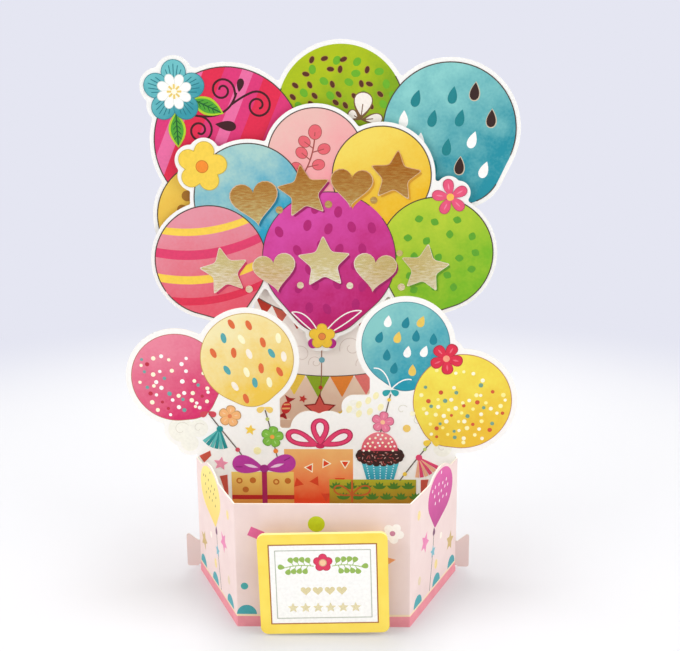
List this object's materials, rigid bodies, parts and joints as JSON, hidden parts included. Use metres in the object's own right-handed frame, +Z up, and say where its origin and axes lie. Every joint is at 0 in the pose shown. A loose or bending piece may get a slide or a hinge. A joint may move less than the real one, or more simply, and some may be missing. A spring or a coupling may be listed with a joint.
{
  "type": "pop-up card",
  "caption": "Pop-up card: a folded hexagonal card tray with upright die-cut balloon sheets, hooked locking tabs and a raised message plate.",
  "frame": {"origin": "on the table in the middle of the tray, under the lower edge of the scene panel", "axes": "+X to the right as seen from the front, +Y to the back, +Z up"},
  "size_m": [0.1526, 0.096, 0.2037],
  "materials": {
    "tray_card": "matte",
    "back_card": "matte",
    "balloon_card": "matte",
    "scene_card": "matte",
    "plate_board": "matte",
    "foam": "matte"
  },
  "bodies": {
    "root": {"tray_wall": "tray_card", "back_panel": "back_card", "balloon_panel": "balloon_card", "balloon_pads": "foam", "scene_panel": "scene_card", "message_plate": "plate_board", "plate_pads": "foam"}
  },
  "joints": []
}
